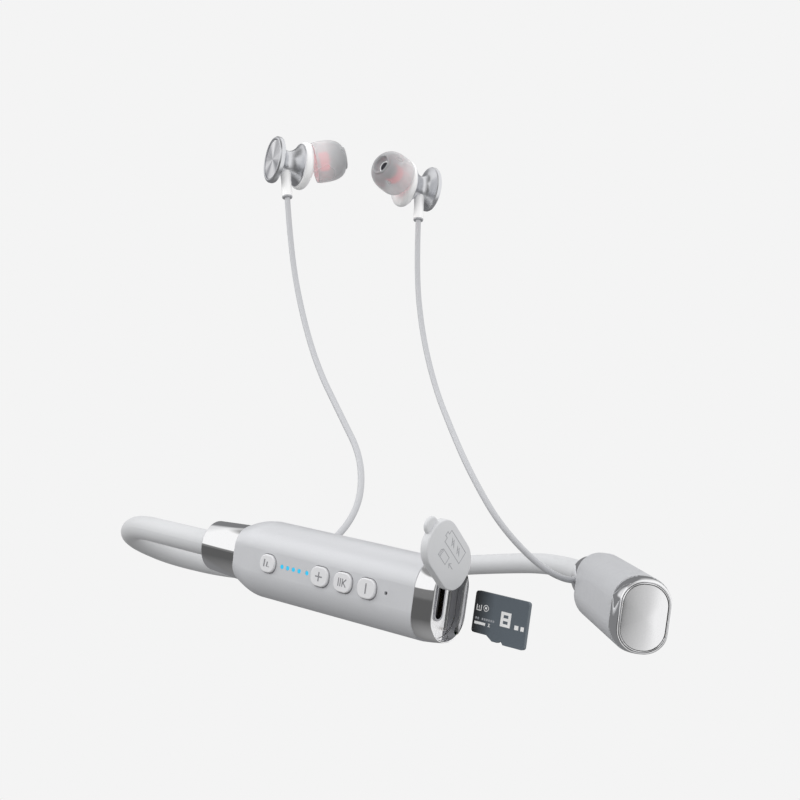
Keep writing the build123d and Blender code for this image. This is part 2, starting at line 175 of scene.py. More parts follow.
def spun_metal():
    """Spun sheet: painted highlights spread round the disc in soft wedges, with fine rays between them,
    standing in for the sheen of spun metal.
    """
    material = surface("spun_metal", linear("c9cace"), roughness=0.4, metallic=0.45, grain=0.1, bump=0.1)
    tree = material.node_tree
    shader = tree.nodes["Principled BSDF"]
    low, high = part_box("right_back_plate")
    split = node(tree, "ShaderNodeSeparateXYZ")
    tree.links.new(object_coordinates(tree), split.inputs["Vector"])
    offsets = []
    for axis, centre in (("Y", (low[1] + high[1]) / 2), ("Z", (low[2] + high[2]) / 2)):
        shifted = node(tree, "ShaderNodeMath", operation="SUBTRACT")
        shifted.inputs[1].default_value = centre
        tree.links.new(split.outputs[axis], shifted.inputs[0])
        offsets.append(shifted.outputs[0])
    angle = node(tree, "ShaderNodeMath", operation="ARCTAN2")
    tree.links.new(offsets[0], angle.inputs[0])
    tree.links.new(offsets[1], angle.inputs[1])

    def wave(turns, phase):
        product = node(tree, "ShaderNodeMath", operation="MULTIPLY_ADD")
        product.inputs[1].default_value = turns
        product.inputs[2].default_value = phase
        tree.links.new(angle.outputs[0], product.inputs[0])
        swing = node(tree, "ShaderNodeMath", operation="SINE")
        tree.links.new(product.outputs[0], swing.inputs[0])
        return swing.outputs[0]

    sheen_waves = wave(4.0, 0.6)
    for turns, phase, share in ((2.0, 1.4, 0.5), (7.0, 0.2, 0.4), (23.0, 0.9, 0.15), (61.0, 0.0, 0.1)):
        part = node(tree, "ShaderNodeMath", operation="MULTIPLY_ADD")
        part.inputs[1].default_value = share
        tree.links.new(wave(turns, phase), part.inputs[0])
        tree.links.new(sheen_waves, part.inputs[2])
        sheen_waves = part.outputs[0]
    # Painted highlights: the waves lighten and darken the base colour by angle round the disc.
    painted_sheen = spread(tree, sheen_waves, 0.0, 1.0, start=-1.6, end=1.6)
    tree.links.new(blended(tree, painted_sheen, linear("8f9095"), linear("f0f0f2")), shader.inputs["Base Color"])
    return material


def shaded_tip(ear):
    """Clear silicone with painted shade: it darkens towards the front of the tip."""
    material = surface(f"{ear}_tip_silicone", linear("f0f1f3"), roughness=0.3, grain=0.3, speckle=0.02,
                       bump=0.03, Transmission_Weight=0.46, IOR=1.03, Coat_Weight=0.3, Coat_Roughness=0.2)
    tree = material.node_tree
    nozzle = mounts[f"{ear}_nozzle"]
    mouth, axis = Vector(nozzle["pos_m"]), Vector(nozzle["axis"]).normalized()
    lit_end, shaded_end = -5.0, 1.6      # mm along the nozzle from its mouth
    reach = node(tree, "ShaderNodeVectorMath", operation="DOT_PRODUCT")
    reach.inputs[1].default_value = axis
    tree.links.new(object_coordinates(tree), reach.inputs[0])
    start = mouth.dot(axis)
    fade = spread(tree, reach.outputs["Value"], 0.0, 1.0, start=start + lit_end * MM,
                  end=start + shaded_end * MM)
    # Painted shade: the colour goes from ecedee near the back of the tip to c0c1c3 at its front.
    tree.links.new(blended(tree, fade, linear("ecedee"), linear("c0c1c3")),
                   tree.nodes["Principled BSDF"].inputs["Base Color"])
    return material


def card_print():
    """Slate print that fades to black towards the card's contact end."""
    material = surface("card_slate", linear("6e737b"), roughness=0.4, grain=0.2, bump=0.05)
    tree = material.node_tree
    shader = tree.nodes["Principled BSDF"]
    inner_end, outwards = place(-1, CARD_OUT), -along(-1)
    black_end, slate_end = 0.6, 5.5      # mm from the card's contact end
    reach = node(tree, "ShaderNodeVectorMath", operation="DOT_PRODUCT")
    reach.inputs[1].default_value = outwards
    tree.links.new(object_coordinates(tree), reach.inputs[0])
    start = inner_end.dot(outwards)
    fade = spread(tree, reach.outputs["Value"], 0.0, 1.0, start=start + black_end * MM,
                  end=start + slate_end * MM)
    tree.links.new(blended(tree, fade, linear("1b1d1f"), linear("5d666e")), shader.inputs["Base Color"])
    return material


# Places on the pods, worked out from the port's mount
port = mounts["usb_c_port"]
PORT_U, PORT_V = 2.65, 0.5
right_along = -Vector(port["axis"])
right_outward = Vector((-right_along.y, right_along.x, 0.0))
right_front = Vector(port["pos_m"]) - right_along * PORT_U * MM - right_outward * PORT_V * MM


def mirrored(vector, side):
    """A vector given for the right side, -X, moved to the side asked for."""
    return Vector((-side * vector[0], vector[1], vector[2]))


def along(side):
    return mirrored(right_along, side)


def outward(side):
    return mirrored(right_outward, side)


def place(side, u, v=0.0, w=0.0):
    base = mirrored(right_front, side)
    return base + (along(side) * u + outward(side) * v + Vector((0.0, 0.0, w))) * MM


# The card's inner end and middle, the lid's stem, and the lid's back face, thickness and turn at rest
CARD_OUT, CARD_V, CARD_W = -4.9, -3.2, -1.3
CARD_HALF = 0.5
STEM_V, STEM_W = 0.6, 7.65
LID_BACK, LID_THICK, LID_TURN = -0.9, 1.7, radians(128.0)
LID_CROWN = 0.4      # how far the lid's rounded front stands past the CAD's flat one


# Mesh helpers
def linked(name, data):
    made = bpy.data.objects.new(name, data)
    bpy.context.scene.collection.objects.link(made)
    return made


def as_piece(made, body, material, replaces=()):
    made.data.materials.clear()
    made.data.materials.append(material)
    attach(made, body)
    if replaces:
        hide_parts(*replaces)
    return made


def smooth(mesh, angle=35.0):
    mesh.shade_smooth()
    mesh.set_sharp_from_angle(angle=radians(angle))


def skin(name, rings, cap_first=False, cap_last=False, closed=False):
    """A surface through rings of points, each ring with the same number of points."""
    mesh = bpy.data.meshes.new(name)
    shape = bmesh.new()
    rows = [[shape.verts.new(point) for point in ring] for ring in rings]
    count = len(rows[0])
    pairs = list(zip(rows, rows[1:]))
    if closed:
        pairs.append((rows[-1], rows[0]))
    for first, second in pairs:
        for i in range(count):
            j = (i + 1) % count
            shape.faces.new((first[i], first[j], second[j], second[i]))
    if cap_first:
        shape.faces.new(rows[0])
    if cap_last:
        shape.faces.new(rows[-1])
    bmesh.ops.recalc_face_normals(shape, faces=shape.faces)
    shape.to_mesh(mesh)
    shape.free()
    smooth(mesh)
    return linked(name, mesh)


def rounded_rectangle(width, height, radius, steps=10):
    """Points round a rectangle with arcs for corners."""
    points = []
    for corner, (sx, sy) in enumerate(((1, 1), (-1, 1), (-1, -1), (1, -1))):
        for step in range(steps + 1):
            a = radians(90.0) * (corner + step / steps)
            points.append((sx * (width / 2 - radius) + radius * cos(a),
                           sy * (height / 2 - radius) + radius * sin(a)))
    return points


def pod_ring(side, u, width, height, radius):
    return [place(side, u, v, w) for v, w in rounded_rectangle(width, height, radius)]


def rounded_profile(points, radii, steps=6):
    """An open outline in two dimensions with the corners between its ends rounded off."""
    outline = [Vector(points[0])]
    for before, here, after, radius in zip(points, points[1:], points[2:], radii):
        here = Vector(here)
        back, ahead = (Vector(before) - here), (Vector(after) - here)
        half = back.angle(ahead) / 2
        reach = radius / tan(half) if radius else 0.0
        if not reach:
            outline.append(here)
            continue
        start, end = here + back.normalized() * reach, here + ahead.normalized() * reach
        for step in range(steps + 1):
            t = step / steps
            outline.append(start.lerp(here, t).lerp(here.lerp(end, t), t))
    outline.append(Vector(points[-1]))
    return outline


def flowing(points, steps=6):
    """A Catmull-Rom curve through points in two dimensions."""
    ends = [2 * Vector(points[0]) - Vector(points[1])] + [Vector(p) for p in points]
    ends.append(2 * Vector(points[-1]) - Vector(points[-2]))
    curve = []
    for a, b, c, d in zip(ends, ends[1:], ends[2:], ends[3:]):
        for step in range(steps):
            t = step / steps
            curve.append(0.5 * (2 * b + (c - a) * t + (2 * a - 5 * b + 4 * c - d) * t * t
                                + (3 * b - a - 3 * c + d) * t ** 3))
    curve.append(ends[-2])
    return curve


def lathe(name, origin, axis, profile, sides=72, **caps):
    """A turned surface: the profile gives the radius and the distance along the axis, in mm."""
    axis = axis.normalized()
    across = axis.orthogonal().normalized()
    rings = []
    for radius, distance in profile:
        arm = across * max(radius, 0.001) * MM
        rings.append([origin + axis * distance * MM + Matrix.Rotation(2 * pi * i / sides, 3, axis) @ arm
                      for i in range(sides)])
    return skin(name, rings, **caps)


SUNK = 0.05      # how far a mark reaches under the face it lies on


def raised(name, polygons, position, height):
    """Thin plates for printed or moulded marks: position turns x, y and a height into a point."""
    mesh = bpy.data.meshes.new(name)
    shape = bmesh.new()
    for polygon in polygons:
        lower = [shape.verts.new(position(x, y, -SUNK)) for x, y in polygon]
        upper = [shape.verts.new(position(x, y, height)) for x, y in polygon]
        count = len(polygon)
        for i in range(count):
            j = (i + 1) % count
            shape.faces.new((lower[i], lower[j], upper[j], upper[i]))
        shape.faces.new(lower)
        shape.faces.new(upper)
    bmesh.ops.recalc_face_normals(shape, faces=shape.faces)
    shape.to_mesh(mesh)
    shape.free()
    return linked(name, mesh)


def bar(x, y, width, height, lean=0.0):
    """A four-cornered bar about x, y, leaning over by so much at its top."""
    w, h = width / 2, height / 2
    return [(x - w - lean, y - h), (x + w - lean, y - h), (x + w + lean, y + h), (x - w + lean, y + h)]


def stroke(points, width):
    """Bars that join the points one after another."""
    made = []
    for first, second in zip(points, points[1:]):
        a, b = Vector(first), Vector(second)
        run = (b - a).normalized() * width / 2
        side = Vector((-run.y, run.x))
        corners = (a - run - side, b + run - side, b + run + side, a - run + side)
        made.append([tuple(c) for c in corners])
    return made


# Surfaces of the CAD parts
silicone = surface("silver_sleeve", linear("cfd0d2"), roughness=0.5, grain=0.18, speckle=0.02, bump=0.12,
                   Sheen_Weight=0.15)
shell = surface("silver_shell", linear("d3d4d7"), roughness=0.34, grain=0.07, speckle=0.05, bump=0.06,
                metallic=0.2)
chrome = surface("chrome_plate", linear("f6f6f7"), roughness=0.035, metallic=1.0, grain=0.6, speckle=0.01,
                 bump=0.005, rough_spread=0.01)
port_satin = surface("port_satin", linear("fafafb"), roughness=0.25, metallic=0.6, grain=0.15, speckle=0.01,
                     bump=0.02)
steel = surface("port_steel", linear("b0b0b4"), roughness=0.28, metallic=1.0, grain=0.12, speckle=0.05,
                bump=0.08)
# Dark steel for a panel of painted shade round the card slot, inside the recess.
painted_shade_panel = surface("painted_shade_panel", linear("77787c"), roughness=0.25, metallic=0.6, grain=0.12, bump=0.03)
black = surface("black_plastic", linear("141416"), roughness=0.45, grain=0.12, bump=0.15)
board = surface("circuit_board", linear("1c5a38"), roughness=0.35, grain=0.5, speckle=0.15, bump=0.1)
key = surface("key_silver", linear("e2e2e4"), roughness=0.34, grain=0.1, speckle=0.03, bump=0.05,
              metallic=0.05, Coat_Weight=0.2, Coat_Roughness=0.25)
blue_light = surface("light_blue", linear("31b5dc"), roughness=0.3, grain=0.2, bump=0.05,
                     Emission_Color=linear("2fb8e0"), Emission_Strength=0.35)
# Grey for the printed key marks, and for the painted shade in the gaps round the keys.
mark_and_gap_shade_grey = surface("mark_and_gap_shade_grey", linear("8a8a8e"), roughness=0.5, grain=0.15, bump=0.1)
lid_line = surface("lid_line", linear("a3a4a8"), roughness=0.5, grain=0.15, bump=0.1)
print_white = surface("print_white", linear("f0f0f0"), roughness=0.5, grain=0.15, bump=0.05)
print_grey = surface("print_grey", linear("a0a3a8"), roughness=0.5, grain=0.15, bump=0.05)
gold = surface("contact_gold", linear("d8b45a"), roughness=0.25, metallic=1.0, grain=0.15, bump=0.05)
lid_silicone = surface("lid_rubber", linear("d6d7d9"), roughness=0.48, grain=0.15, speckle=0.02, bump=0.12)
satin_plate = surface("end_silver", linear("f2f2f3"), roughness=0.14, metallic=0.9, grain=0.4, speckle=0.01,
                      bump=0.01, rough_spread=0.03)
bud_metal = surface("bud_metal", linear("dcdde0"), roughness=0.3, metallic=1.0, grain=0.3, speckle=0.01,
                    bump=0.02, rough_spread=0.05)
# The white plastic's faint emission is a painted glow that brightens it, since it is no lamp.
white = surface("white_plastic", linear("fcfcfc"), roughness=0.28, grain=0.2, speckle=0.01, bump=0.04,
                Coat_Weight=0.2, Emission_Color=linear("ffffff"), Emission_Strength=0.06)
mesh_steel = surface("mesh_steel", linear("3c3c40"), roughness=0.4, metallic=0.8, grain=0.12, speckle=0.4,
                     bump=0.6, depth=0.06)
tip_silicone = surface("clear_silicone", linear("f0f1f3"), roughness=0.3, grain=0.3, speckle=0.02, bump=0.03,
                       Transmission_Weight=0.55, IOR=1.1)
# The red silicone's colour is its own. Its emission is a painted glow, since the part is no lamp.
red_silicone = surface("red_silicone", linear("dc3c4c"), roughness=0.4, grain=0.3, speckle=0.05, bump=0.05,
                       Emission_Color=linear("e43c4e"), Emission_Strength=1.4)
cord_skin = surface("cord_jacket", linear("c2c3c6"), roughness=0.48, grain=0.5, speckle=0.01, bump=0.02)
dark_rubber = surface("loom_jacket", linear("38383a"), roughness=0.6, grain=0.2, bump=0.2)
spring_steel = surface("spring_steel", linear("a8a8ac"), roughness=0.3, metallic=1.0, grain=0.1, bump=0.1,
                       stretch=(1.0, 1.0, 0.2))
foil = surface("cell_foil", linear("c4c4c8"), roughness=0.32, metallic=0.9, grain=0.8, speckle=0.04, bump=0.3)
magnet = surface("magnet_nickel", linear("b4b4b0"), roughness=0.25, metallic=1.0, grain=0.2, bump=0.1)
led_body = surface("led_body", linear("e8e8dc"), roughness=0.3, grain=0.2, bump=0.05)
spun = spun_metal()
slate = card_print()

slot_surfaces = {
    "silver_sleeve": silicone, "spring_steel": spring_steel, "loom_jacket": dark_rubber,
    "chrome_plate": chrome, "silver_shell": shell, "port_grey": port_satin, "port_steel": steel,
    "black_plastic": black, "circuit_board": board, "key_silver": key, "light_blue": blue_light,
    "led_body": led_body, "mic_can": steel, "lid_rubber": lid_silicone, "card_slate": slate,
    "end_silver": satin_plate, "cell_foil": foil, "spun_metal": spun, "bud_metal": bud_metal,
    "magnet_nickel": magnet, "white_plastic": white, "mesh_steel": mesh_steel,
    "clear_silicone": tip_silicone, "red_silicone": red_silicone, "cord_jacket": cord_skin}
for entry in frame["record"]["subparts"]:
    dressed = frame["nodes"][entry["node"]]
    for place_in_list in range(max(1, len(dressed.data.materials))):
        if place_in_list < len(dressed.material_slots):
            dressed.material_slots[place_in_list].material = slot_surfaces[entry["material_slot"]]
        else:
            dressed.data.materials.append(slot_surfaces[entry["material_slot"]])


# Cords
CORD_D = 1.9
BUD_LIFT = {-1: -0.95, 1: 0.85}
cord_route = [(0.0505, -0.1274, 0.0229), (0.0387, -0.1344, 0.0236), (0.0237, -0.1267, 0.0358),
              (0.0181, -0.1130, 0.0505), (0.0193, -0.0945, 0.0630), (0.0210, -0.0757, 0.0764),
              (0.0222, -0.0589, 0.0938), (0.0237, -0.0451, 0.1145), (0.0251, -0.0378, 0.1340)]


def cord_line(side):
    """The cord's points on one side; the bud's lift fades out over the last three."""
    lifts = [0.0] * (len(cord_route) - 3) + [BUD_LIFT[side] * share * MM for share in (0.33, 0.67, 1.0)]
    return [Vector((side * x, y, z + lift)) for (x, y, z), lift in zip(cord_route, lifts)]


def make_cord(side, ear):
    points = cord_line(side)
    curve = bpy.data.curves.new(f"{ear}_cord_line", "CURVE")
    curve.dimensions = "3D"
    spline = curve.splines.new("NURBS")
    spline.points.add(len(points) - 1)
    for control, point in zip(spline.points, points):
        control.co = (*point, 1.0)
    spline.order_u = 3
    spline.use_endpoint_u = True
    spline.resolution_u = 24
    curve.bevel_depth = CORD_D / 2 * MM
    curve.bevel_resolution = 6
    curve.use_fill_caps = True
    piece = linked(f"{ear}_cord_line", curve)
    as_piece(piece, "neckband", cord_skin, [f"{ear}_cord"])
    return points


def make_relief(side, ear, points):
    """The ribbed, tapered sleeve where a cord enters its collar."""
    inward = (points[0] - points[1]).normalized()
    profile = [(0.97, 0.0), (1.2, 0.02)]
    pitch, growth = 0.72, 0.09
    for ring in range(3):
        start = 0.2 + pitch * ring
        radius = 1.27 + growth * ring
        profile += [(radius, start), (radius + 0.02, start + 0.42), (radius - 0.1, start + 0.5),
                    (radius - 0.08, start + 0.68)]
    profile += [(1.5, 2.4), (1.5, 3.1), (0.9, 3.1)]
    piece = lathe(f"{ear}_cord_sleeve", points[0], inward, profile, sides=40)
    as_piece(piece, "neckband", cord_skin, [f"{ear}_cord_relief"])


# Chrome rings of the pods
HOUSING_U, COLLAR_U = 67.5, 80.6      # the collar's ends, at the housing and at the band
COLLAR_WIDTH, COLLAR_HEIGHT = 12.0, 15.0
NARROWING, LOWERING = 0.6, 1.6        # what the collar loses from one end to the other
BEZEL_ROUND, END_ROUND = 0.46, 0.47   # corner radius over width


def oval(side, u, width, height, steps=44):
    angles = [2 * pi * i / steps for i in range(steps)]
    return [place(side, u, width / 2 * cos(a), height / 2 * sin(a)) for a in angles]


def make_collar(side, pod):
    """The oval ring that holds the band, with rolled edges at both ends and a round socket."""
    rings = []
    outline = [(HOUSING_U, 0.6), (HOUSING_U, 0.16), (67.62, 0.02), (67.8, 0.0), (80.2, 0.0), (80.48, 0.06),
               (COLLAR_U, 0.25)]
    for u, inset in outline:
        share = (u - HOUSING_U) / (COLLAR_U - HOUSING_U)
        width = COLLAR_WIDTH - NARROWING * share - 2 * inset
        height = COLLAR_HEIGHT - LOWERING * share - 2 * inset
        rings.append(oval(side, u, width, height))
    for u, diameter in ((COLLAR_U, 7.9), (80.5, 7.5), (80.1, 7.24), (70.2, 7.24)):
        rings.append(pod_ring(side, u, diameter, diameter, diameter / 2 - 0.001))
    piece = skin(f"{pod}_collar_ring", rings)
    as_piece(piece, "neckband", chrome, [f"{pod}_collar"])


def make_bezel(side, pod):
    """The front ring: a flared band, a bright rolled lip, and a recess with a ledge at its foot."""
    rings = []
    flare = [(5.3, 15.1, 19.6), (5.28, 15.32, 19.82), (5.1, 15.42, 19.92), (2.4, 14.6, 19.3),
             (0.7, 13.75, 18.75), (0.35, 13.45, 18.55), (0.1, 13.2, 18.4), (0.0, 12.95, 18.2),
             (0.02, 12.7, 17.97), (0.14, 12.46, 17.76), (0.4, 12.4, 17.7), (4.2, 12.3, 17.6),
             (4.2, 11.6, 16.9), (5.3, 11.6, 16.9)]
    for u, width, height in flare:
        rings.append(pod_ring(side, u, width, height, BEZEL_ROUND * width))
    piece = skin(f"{pod}_bezel_ring", rings)
    as_piece(piece, "neckband", chrome, [f"{pod}_bezel"])


def make_end_plate():
    """The battery pod's end: a shallow dome inside a groove and a thin bright ring."""
    ring_outline = [(2.6, 12.3, 17.6), (0.1, 12.3, 17.6), (-0.12, 12.1, 17.4), (-0.18, 11.9, 17.2),
                    (-0.1, 11.7, 17.0), (0.15, 11.6, 16.9), (2.6, 11.6, 16.9)]
    ring = skin("end_plate_ring", [pod_ring(1, u, w, h, END_ROUND * w) for u, w, h in ring_outline])
    as_piece(ring, "neckband", chrome)
    foot, widest, tallest, rise = 0.02, 11.35, 16.65, 0.66
    quarter = 14.6      # steps to a quarter turn, so the last ring stops just short of the middle
    rings = [(2.6, 11.5, 16.8), (0.25, 11.5, 16.8), (foot, widest, tallest)]
    for step in range(1, 15):
        size = cos(radians(90.0) * step / quarter)
        rings.append((foot - rise * (1 - size * size), widest * size, tallest * size))
    dome = skin("end_plate_dome", [pod_ring(1, u, w, h, END_ROUND * w) for u, w, h in rings], cap_last=True)
    as_piece(dome, "neckband", satin_plate, ["end_plate"])


# Marks on the keys, and the painted shade in the gaps round them
KEY_TOP = 8.4
KEY_ROUND = 2.2
KEYS = {"mode_button": (52.8, 5.2, 4.6), "volume_up_button": (34.7, 5.7, 4.9),
        "play_button": (27.0, 5.7, 4.9), "volume_down_button": (19.3, 5.7, 4.9)}      # u, length, height


def key_marks():
    plus = [bar(0, 0, 0.36, 2.3), bar(-0.66, 0, 0.94, 0.34), bar(0.66, 0, 0.94, 0.34)]
    minus = [bar(0, 0, 0.38, 2.5)]
    chevron = stroke([(1.25, 0.85), (0.45, 0.0), (1.25, -0.85)], 0.3)
    play = [bar(-1.1, 0, 0.3, 2.0), bar(-0.45, 0, 0.3, 2.0), bar(0.2, 0, 0.28, 2.0)] + chevron
    mode = [bar(-0.9, 0.1, 0.42, 1.9, 0.05), bar(0.1, -0.05, 0.4, 1.15, 0.1), bar(0.45, -0.72, 1.1, 0.14)]
    marks = {"mode_button": mode, "volume_up_button": plus, "play_button": play, "volume_down_button": minus}
    bodies = frame["record"]["behaviour"]["bodies"]
    for name, polygons in marks.items():
        centre = KEYS[name][0]
        body = next(b for b, nodes in bodies.items() if name in nodes)
        piece = raised(f"{name}_mark", polygons, lambda x, y, h: place(-1, centre - x, KEY_TOP + h, y), 0.03)
        as_piece(piece, body, mark_and_gap_shade_grey)


def key_gap_shades():
    """A thin grey ring of painted shade lines the gap round each key."""
    for name, (centre, long, tall) in KEYS.items():
        rings = []
        for v, grow in ((6.6, 0.2), (7.74, 0.2), (7.76, 0.34), (7.7, 0.4)):
            outline = rounded_rectangle(long + grow, tall + grow, KEY_ROUND)
            rings.append([place(-1, centre + x, v, y) for x, y in outline])
        as_piece(skin(f"{name}_gap_shade", rings), "neckband", mark_and_gap_shade_grey)


# Lid
def lid_point(x, y, z):
    """A point on the lid: x across it, y away from its tab, z into the pod from its front face."""
    c, s = cos(LID_TURN), sin(LID_TURN)
    centre_v = STEM_V - STEM_V * c + STEM_W * s
    centre_w = STEM_W - STEM_V * s - STEM_W * c
    return place(-1, LID_BACK - LID_THICK + z, centre_v + x * c - y * s, centre_w + x * s + y * c)


def make_lid():
    """The lid's pad and its tab, both with rounded edges, and the marks moulded on its front."""
    def slab(name, x, y, width, height, radius, outline):
        rings = []
        for z, inset in outline:
            corners = rounded_rectangle(width - 2 * inset, height - 2 * inset, radius - inset)
            rings.append([lid_point(x + px, y + py, z) for px, py in corners])
        return skin(name, rings, cap_first=True, cap_last=True)

    pad_outline = [(-LID_CROWN, 0.3), (-0.37, 0.16), (-0.28, 0.05), (-0.15, 0.0), (1.5, 0.0), (1.64, 0.08),
                   (LID_THICK, 0.3)]
    pad = slab("port_lid_pad", 0.0, 0.0, 12.1, 18.4, 5.6, pad_outline)
    as_piece(pad, "lid", lid_silicone, ["port_lid"])
    tab_outline = [(0.35, 0.5), (0.4, 0.25), (0.55, 0.08), (0.75, 0.0), (1.2, 0.0), (1.4, 0.12), (1.5, 0.4)]
    tab = slab("port_lid_tab", 0.9, -9.2, 4.3, 4.6, 2.0, tab_outline)
    as_piece(tab, "lid", lid_silicone)

    line, thin_line = 0.16, 0.12
    battery = stroke([(0.9, -4.0), (2.0, -4.0), (2.0, -4.9), (3.1, -4.9), (3.1, -4.0), (4.2, -4.0),
                      (4.2, 4.2), (0.9, 4.2), (0.9, -4.0)], line)
    bolt = [(0.75, -1.0), (-0.65, 0.12), (0.12, 0.18), (-0.55, 1.2), (0.8, -0.1), (0.02, -0.16)]
    bolts = []
    for centre in (-1.4, 1.6):
        bolts += stroke([(2.55 + x, centre + y) for x, y in bolt + bolt[:1]], thin_line)
    card = stroke([(-2.5, -3.6), (-1.1, -3.6), (-0.5, -3.0), (-0.5, 0.2), (-2.5, 0.2), (-2.5, -3.6)], line)
    pins = [bar(-2.15 + 0.42 * i, -2.95, line, 0.75) for i in range(4)]
    arrow = stroke([(-1.5, 3.2), (-1.5, 1.2)], line) + stroke([(-2.1, 1.9), (-1.5, 1.2), (-0.9, 1.9)], line)
    piece = raised("port_lid_marks", battery + bolts + card + pins + arrow,
                   lambda x, y, h: lid_point(x, y, -LID_CROWN - h), 0.02)
    as_piece(piece, "lid", lid_line)


# Print and contacts of the card
INK = 0.012


def card_front(x, y, h):
    return place(-1, CARD_OUT - x, CARD_V + CARD_HALF + h, CARD_W + y)


def card_back(x, y, h):
    return place(-1, CARD_OUT - x, CARD_V - CARD_HALF - h, CARD_W + y)


def make_card_print():
    """A block figure, a box, a ring and bars on the front, and eight contacts on the back."""
    eight = [bar(8.1, 0.35, 0.75, 3.4), bar(10.15, 0.35, 0.75, 3.4)]
    eight += [bar(9.125, y, 1.3, 0.66) for y in (-1.02, 0.35, 1.72)]
    box = stroke([(0.8, 2.3), (0.8, 1.1), (2.0, 1.1), (2.0, 2.3)], 0.2) + [bar(1.4, 1.8, 0.18, 0.8)]
    ring = [(3.35 + 0.68 * cos(pi * i / 8), 1.85 + 0.68 * sin(pi * i / 8)) for i in range(17)]
    strip = [bar(2.15, -1.85, 3.1, 0.62), bar(4.75, -1.85, 0.24, 0.8), bar(4.75, -1.55, 0.6, 0.16),
             bar(4.75, -2.15, 0.6, 0.16)]
    white_marks = eight + box + stroke(ring, 0.2) + [bar(3.35, 1.85, 0.5, 0.5)] + strip
    white_marks += [bar(12.3, -0.85, 1.1, 1.0), bar(13.9, -0.85, 0.9, 1.0)]
    as_piece(raised("card_marks", white_marks, card_front, INK), "card", print_white)
    words = [bar(0.9 + 0.62 * i, -0.75, 0.42, 0.5) for i in range(9) if i != 2]
    as_piece(raised("card_small_marks", words, card_front, INK), "card", print_grey)
    contacts = [bar(1.9, -3.35 + 1.12 * i, 2.8, 0.78) for i in range(8)]
    as_piece(raised("card_contacts", contacts, card_back, INK), "card", gold)


# Port
def make_port():
    """The folded rim of the socket, the contacts along its tongue, and a dark panel of painted shade round
    the card slot.
    """
    slot_half, slot_end, panel_u = 0.62, 5.75, 2.93
    near, far = CARD_V + slot_half, CARD_V - slot_half
    top, bottom = CARD_W + slot_end, CARD_W - slot_end
    near_reach, far_reach = 8.15, 7.45      # half heights of the panel at the slot
    outer_edge = [(v, w) for v, w in rounded_rectangle(12.1, 17.4, 5.9) if v < far]
    panel = [[(far, far_reach)] + outer_edge + [(far, -far_reach)],
             [(near, top), (near, near_reach), (far, far_reach), (far, top)],
             [(near, bottom), (near, -near_reach), (far, -far_reach), (far, bottom)]]
    # Painted shade: a dark panel on the port plate round the card slot, where the recess lies in shade.
    piece = raised("card_slot_painted_shade", panel, lambda v, w, h: place(-1, panel_u - h, v, w), 0.05)
    as_piece(piece, "neckband", painted_shade_panel)
    outline = []
    shell_thick, shell_tall, tongue_half = 3.16, 8.94, 0.35
    for u, grow in ((3.0, 0.5), (2.78, 0.46), (2.62, 0.3), (2.6, 0.1), (2.7, -0.3), (3.6, -0.62)):
        thick = shell_thick + grow
        corners = rounded_rectangle(thick, shell_tall + grow, thick / 2 - 0.01)
        outline.append([place(-1, u, PORT_V + v, w) for v, w in corners])
    as_piece(skin("usb_rim", outline), "neckband", steel)
    pads = [bar(4.6, -2.75 + 0.5 * i, 2.2, 0.26) for i in range(12)]
    for face, sign in (("outer", 1), ("inner", -1)):
        piece = raised(f"usb_contacts_{face}", pads,
                       lambda x, y, h: place(-1, x, PORT_V + sign * (tongue_half + h), y), 0.015)
        as_piece(piece, "neckband", gold)


# Earbuds
NOZZLE_LONG = 13.2
TIP_BACK, TIP_FRONT = 4.5, 15.4       # along the nozzle from its root
STEM_RADIUS = 1.78


